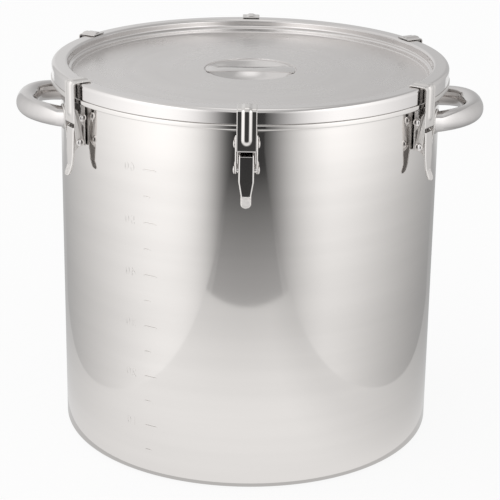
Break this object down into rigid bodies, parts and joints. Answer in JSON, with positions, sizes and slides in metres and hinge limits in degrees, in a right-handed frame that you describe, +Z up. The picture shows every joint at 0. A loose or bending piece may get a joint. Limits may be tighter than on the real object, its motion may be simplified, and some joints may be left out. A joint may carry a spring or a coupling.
{
  "type": "brew kettle",
  "caption": "Tall straight-sided stainless kettle with a dished clamp-down lid, sunk finger grip, tube side handles and over-centre toggle latches around the rim.",
  "frame": {"origin": "on the pot's axis, in the plane of its base", "axes": "+Z up the pot's axis, the front latch faces -Y, the two side handles lie on the X axis"},
  "size_m": [0.5594, 0.497, 0.4594],
  "materials": {
    "pot_steel": "polished stainless steel, very faintly brushed round the wall",
    "lid_steel": "satin stainless steel sheet",
    "handle_steel": "polished stainless tube",
    "latch_steel": "pressed stainless sheet, tumbled bright",
    "pin_steel": "bright drawn wire with domed rivet heads",
    "seal_silicone": "matte food-grade silicone"
  },
  "bodies": {
    "pot": {"pot_body": "pot_steel", "handle_left": "handle_steel", "handle_right": "handle_steel", "latch_bracket_front": "latch_steel", "latch_bracket_front_right": "latch_steel", "latch_bracket_back_right": "latch_steel", "latch_bracket_back": "latch_steel", "latch_bracket_back_left": "latch_steel", "latch_bracket_front_left": "latch_steel", "latch_lever_pin_front": "pin_steel", "latch_lever_pin_front_right": "pin_steel", "latch_lever_pin_back_right": "pin_steel", "latch_lever_pin_back": "pin_steel", "latch_lever_pin_back_left": "pin_steel", "latch_lever_pin_front_left": "pin_steel"},
    "lid": {"lid_shell": "lid_steel", "lid_seal_ring": "seal_silicone", "lid_grip_bar": "lid_steel"},
    "lever_front": {"latch_lever_front": "latch_steel"},
    "hook_front": {"latch_hook_front": "latch_steel", "latch_hook_pin_front": "pin_steel"},
    "lever_front_right": {"latch_lever_front_right": "latch_steel"},
    "hook_front_right": {"latch_hook_front_right": "latch_steel", "latch_hook_pin_front_right": "pin_steel"},
    "lever_back_right": {"latch_lever_back_right": "latch_steel"},
    "hook_back_right": {"latch_hook_back_right": "latch_steel", "latch_hook_pin_back_right": "pin_steel"},
    "lever_back": {"latch_lever_back": "latch_steel"},
    "hook_back": {"latch_hook_back": "latch_steel", "latch_hook_pin_back": "pin_steel"},
    "lever_back_left": {"latch_lever_back_left": "latch_steel"},
    "hook_back_left": {"latch_hook_back_left": "latch_steel", "latch_hook_pin_back_left": "pin_steel"},
    "lever_front_left": {"latch_lever_front_left": "latch_steel"},
    "hook_front_left": {"latch_hook_front_left": "latch_steel", "latch_hook_pin_front_left": "pin_steel"}
  },
  "joints": [
    {"name": "lid_lift", "type": "slide", "parent": "pot", "child": "lid", "axis": [0, 0, 1], "range_m": [0, 0.0207]},
    {"name": "lever_front_swing", "type": "hinge", "parent": "pot", "child": "lever_front", "pos_m": [-0.00284, -0.23248, 0.4168], "axis": [-0.9999, 0.0122, 0], "range_deg": [0, 108]},
    {"name": "hook_front_swing", "type": "hinge", "parent": "lever_front", "child": "hook_front", "pos_m": [-0.00288, -0.23598, 0.3885], "axis": [-0.9999, 0.0122, 0], "range_deg": [-141, 0]},
    {"name": "lever_front_right_swing", "type": "hinge", "parent": "pot", "child": "lever_front_right", "pos_m": [0.19499, -0.12663, 0.4168], "axis": [-0.5446, -0.8387, 0], "range_deg": [0, 108]},
    {"name": "hook_front_right_swing", "type": "hinge", "parent": "lever_front_right", "child": "hook_front_right", "pos_m": [0.19793, -0.12854, 0.3885], "axis": [-0.5446, -0.8387, 0], "range_deg": [-141, 0]},
    {"name": "lever_back_right_swing", "type": "hinge", "parent": "pot", "child": "lever_back_right", "pos_m": [0.20135, 0.11625, 0.4168], "axis": [0.5, -0.866, 0], "range_deg": [0, 108]},
    {"name": "hook_back_right_swing", "type": "hinge", "parent": "lever_back_right", "child": "hook_back_right", "pos_m": [0.20438, 0.118, 0.3885], "axis": [0.5, -0.866, 0], "range_deg": [-141, 0]},
    {"name": "lever_back_swing", "type": "hinge", "parent": "pot", "child": "lever_back", "pos_m": [0, 0.2325, 0.4168], "axis": [1, 0, 0], "range_deg": [0, 108]},
    {"name": "hook_back_swing", "type": "hinge", "parent": "lever_back", "child": "hook_back", "pos_m": [0, 0.236, 0.3885], "axis": [1, 0, 0], "range_deg": [-141, 0]},
    {"name": "lever_back_left_swing", "type": "hinge", "parent": "pot", "child": "lever_back_left", "pos_m": [-0.20135, 0.11625, 0.4168], "axis": [0.5, 0.866, 0], "range_deg": [0, 108]},
    {"name": "hook_back_left_swing", "type": "hinge", "parent": "lever_back_left", "child": "hook_back_left", "pos_m": [-0.20438, 0.118, 0.3885], "axis": [0.5, 0.866, 0], "range_deg": [-141, 0]},
    {"name": "lever_front_left_swing", "type": "hinge", "parent": "pot", "child": "lever_front_left", "pos_m": [-0.19499, -0.12663, 0.4168], "axis": [-0.5446, 0.8387, 0], "range_deg": [0, 108]},
    {"name": "hook_front_left_swing", "type": "hinge", "parent": "lever_front_left", "child": "hook_front_left", "pos_m": [-0.19793, -0.12854, 0.3885], "axis": [-0.5446, 0.8387, 0], "range_deg": [-141, 0]}
  ],
  "couplings": [
    {"joint": "lever_front_swing", "follows": "lid_lift", "rad_per_m": 90.909},
    {"joint": "hook_front_swing", "follows": "lid_lift", "rad_per_m": -118.18},
    {"joint": "lever_front_right_swing", "follows": "lid_lift", "rad_per_m": 90.909},
    {"joint": "hook_front_right_swing", "follows": "lid_lift", "rad_per_m": -118.18},
    {"joint": "lever_back_right_swing", "follows": "lid_lift", "rad_per_m": 90.909},
    {"joint": "hook_back_right_swing", "follows": "lid_lift", "rad_per_m": -118.18},
    {"joint": "lever_back_swing", "follows": "lid_lift", "rad_per_m": 90.909},
    {"joint": "hook_back_swing", "follows": "lid_lift", "rad_per_m": -118.18},
    {"joint": "lever_back_left_swing", "follows": "lid_lift", "rad_per_m": 90.909},
    {"joint": "hook_back_left_swing", "follows": "lid_lift", "rad_per_m": -118.18},
    {"joint": "lever_front_left_swing", "follows": "lid_lift", "rad_per_m": 90.909},
    {"joint": "hook_front_left_swing", "follows": "lid_lift", "rad_per_m": -118.18}
  ]
}
